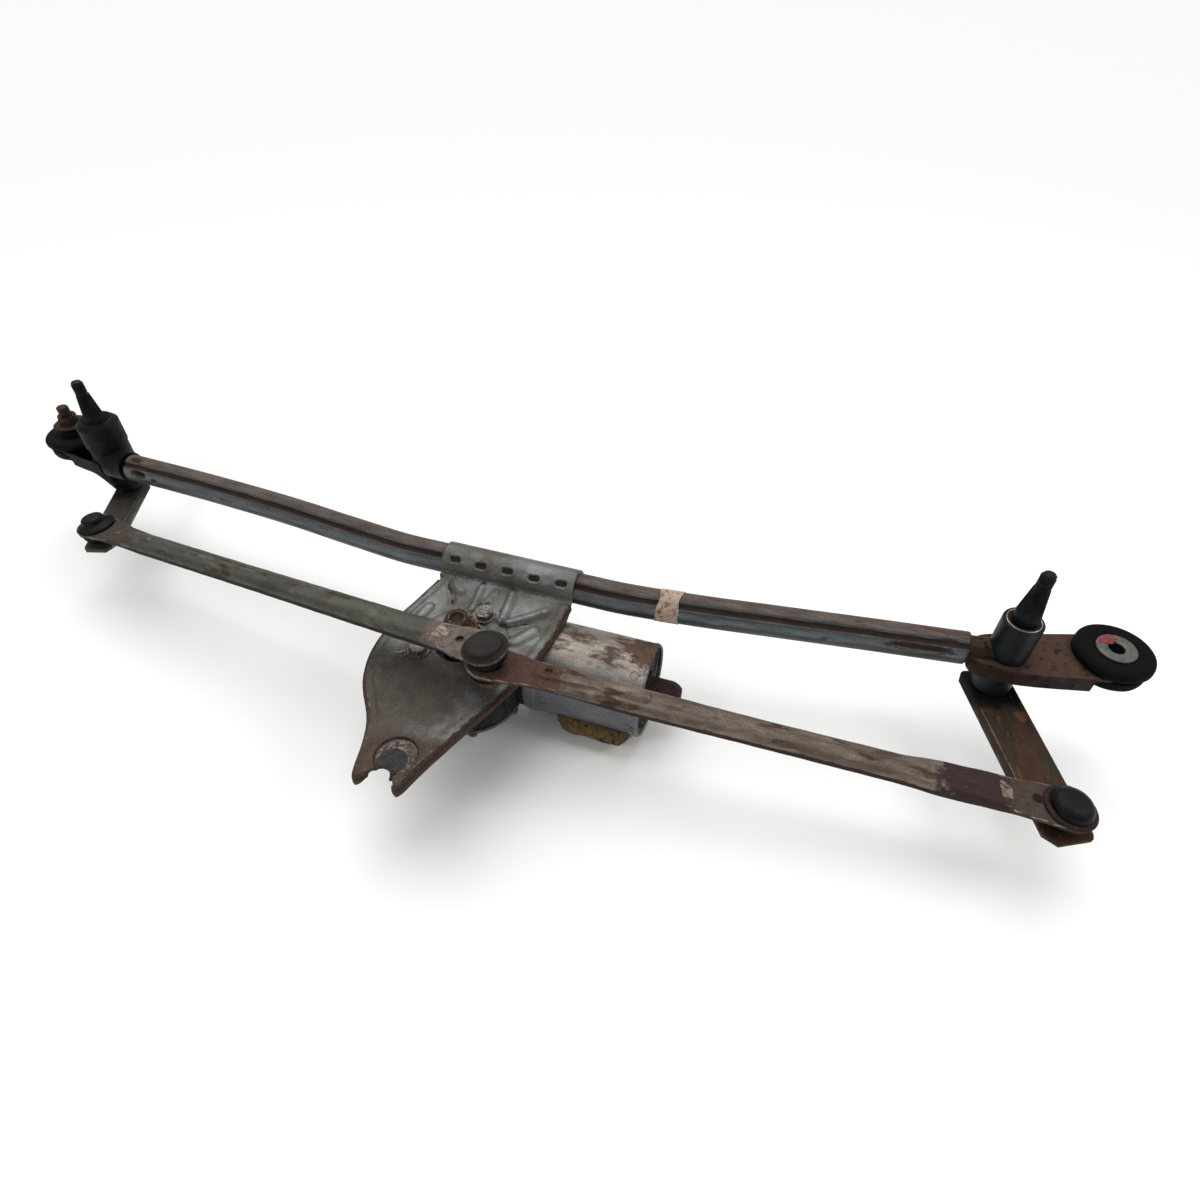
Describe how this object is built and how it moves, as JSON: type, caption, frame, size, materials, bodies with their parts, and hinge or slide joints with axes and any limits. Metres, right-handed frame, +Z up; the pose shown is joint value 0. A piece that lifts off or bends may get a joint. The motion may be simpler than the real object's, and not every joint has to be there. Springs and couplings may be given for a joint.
{
  "type": "windshield wiper linkage with motor",
  "caption": "Wiper linkage on a bowed cross tube: a geared motor on a pressed bracket swings two threaded spindles through a crank, ball-jointed links and levers.",
  "frame": {"origin": "centre of the right mounting eye, on its bore axis at the height of the cross tube", "axes": "+X from the left mounting eye to the right one, along the cross tube; +Z up along the eye bore and the spindles, towards the wiper arms; +Y towards the windshield, away from the motor"},
  "size_m": [0.76, 0.2183, 0.1318],
  "materials": {
    "zinc_tube": "worn grey plating with brown stain",
    "zinc_sheet": "weathered zinc plate",
    "dark_forging": "dark oiled forging",
    "dark_steel": "dark phosphated steel",
    "rust_steel": "brown rusted steel",
    "link_olive": "worn olive-grey plating",
    "link_beige": "worn zinc with rust",
    "black_plastic": "aged moulded plastic",
    "brown_plastic": "aged moulded plastic",
    "rubber_black": "aged rubber",
    "rubber_grey": "worn rubber",
    "bright_steel": "bare turned steel",
    "bronze": "sintered bronze",
    "cast_alloy": "dirty die casting",
    "can_zinc": "zinc plated drawn steel",
    "rust_plate": "rusted steel",
    "ferrite": "ferrite magnet",
    "copper": "copper",
    "nylon": "natural nylon",
    "carbon": "carbon",
    "foam_tan": "perished foam strip",
    "tape_beige": "masking tape"
  },
  "bodies": {
    "frame": {"cross_tube": "zinc_tube", "motor_bracket": "zinc_sheet", "fork_pad": "rubber_grey", "left_housing": "dark_forging", "left_seal_ring": "rubber_black", "right_sleeve": "dark_steel", "right_snap_ring": "bright_steel", "spindle_bushes": "bronze", "right_arm": "rust_steel", "left_arm": "rust_steel", "left_grommet": "rubber_black", "right_grommet": "rubber_black", "left_eye_sleeve": "bright_steel", "right_eye_sleeve": "bright_steel", "right_eye_washer": "bright_steel", "left_rubber_collar": "rubber_black", "left_stud_washer": "rust_steel", "left_stud_nut": "rust_steel", "left_stud": "rust_steel", "gear_housing": "cast_alloy", "gear_cover": "zinc_sheet", "cover_screws": "bright_steel", "motor_bolts": "zinc_sheet", "motor_can": "can_zinc", "motor_end_plate": "rust_plate", "rear_bearing": "bronze", "motor_magnets": "ferrite", "brush_plate": "black_plastic", "motor_brushes": "carbon", "plug_housing": "black_plastic", "plug_blades": "bright_steel", "foam_pad": "foam_tan", "tape_strip": "tape_beige"},
    "armature": {"armature_core": "rust_plate", "armature_windings": "copper", "commutator": "copper", "armature_shaft": "bright_steel"},
    "crank": {"crank_arm": "zinc_sheet", "crank_nut": "rust_steel", "crank_pin": "bright_steel", "output_shaft": "dark_steel", "worm_wheel": "nylon"},
    "left_linkage": {"left_link": "link_olive", "left_link_sockets": "black_plastic", "left_link_boots": "rubber_black", "left_cap": "black_plastic", "centre_cap": "brown_plastic"},
    "right_linkage": {"right_link": "link_beige", "right_link_sockets": "black_plastic", "right_link_boots": "rubber_black", "right_cap": "black_plastic"},
    "left_drive": {"left_spindle": "dark_steel", "left_lever": "link_olive", "left_ball_stud": "bright_steel"},
    "right_drive": {"right_spindle": "dark_steel", "right_lever": "rust_steel", "right_ball_stud": "bright_steel"}
  },
  "joints": [
    {"name": "armature_spin", "type": "hinge", "parent": "frame", "child": "armature", "pos_m": [-0.285, -0.0715, -0.041], "axis": [1, 0, 0], "range_deg": [-2900, 580]},
    {"name": "crank_turn", "type": "hinge", "parent": "frame", "child": "crank", "pos_m": [-0.351, -0.0985, 0.003], "axis": [0, 0, 1], "range_deg": [-50.3, 10.3]},
    {"name": "left_spindle_turn", "type": "hinge", "parent": "frame", "child": "left_drive", "pos_m": [-0.675, -0.0155, 0], "axis": [0, 0, 1], "range_deg": [-26.87, 5.61]},
    {"name": "right_spindle_turn", "type": "hinge", "parent": "frame", "child": "right_drive", "pos_m": [-0.055, -0.0155, 0], "axis": [0, 0, 1], "range_deg": [-20.56, 4.35]},
    {"name": "left_link_swing", "type": "hinge", "parent": "crank", "child": "left_linkage", "pos_m": [-0.3205, -0.1236, 0.0213], "axis": [0, 0, 1], "range_deg": [-9.95, 48.55]},
    {"name": "right_link_swing", "type": "hinge", "parent": "crank", "child": "right_linkage", "pos_m": [-0.3205, -0.1236, 0.0109], "axis": [0, 0, 1], "range_deg": [-10.69, 52.26]}
  ],
  "couplings": [
    {"joint": "crank_turn", "follows": "armature_spin", "ratio": 0.017241},
    {"joint": "left_spindle_turn", "follows": "armature_spin", "ratio": 0.0091621},
    {"joint": "right_spindle_turn", "follows": "armature_spin", "ratio": 0.0069862},
    {"joint": "left_link_swing", "follows": "armature_spin", "ratio": -0.016638},
    {"joint": "right_link_swing", "follows": "armature_spin", "ratio": -0.017917}
  ]
}
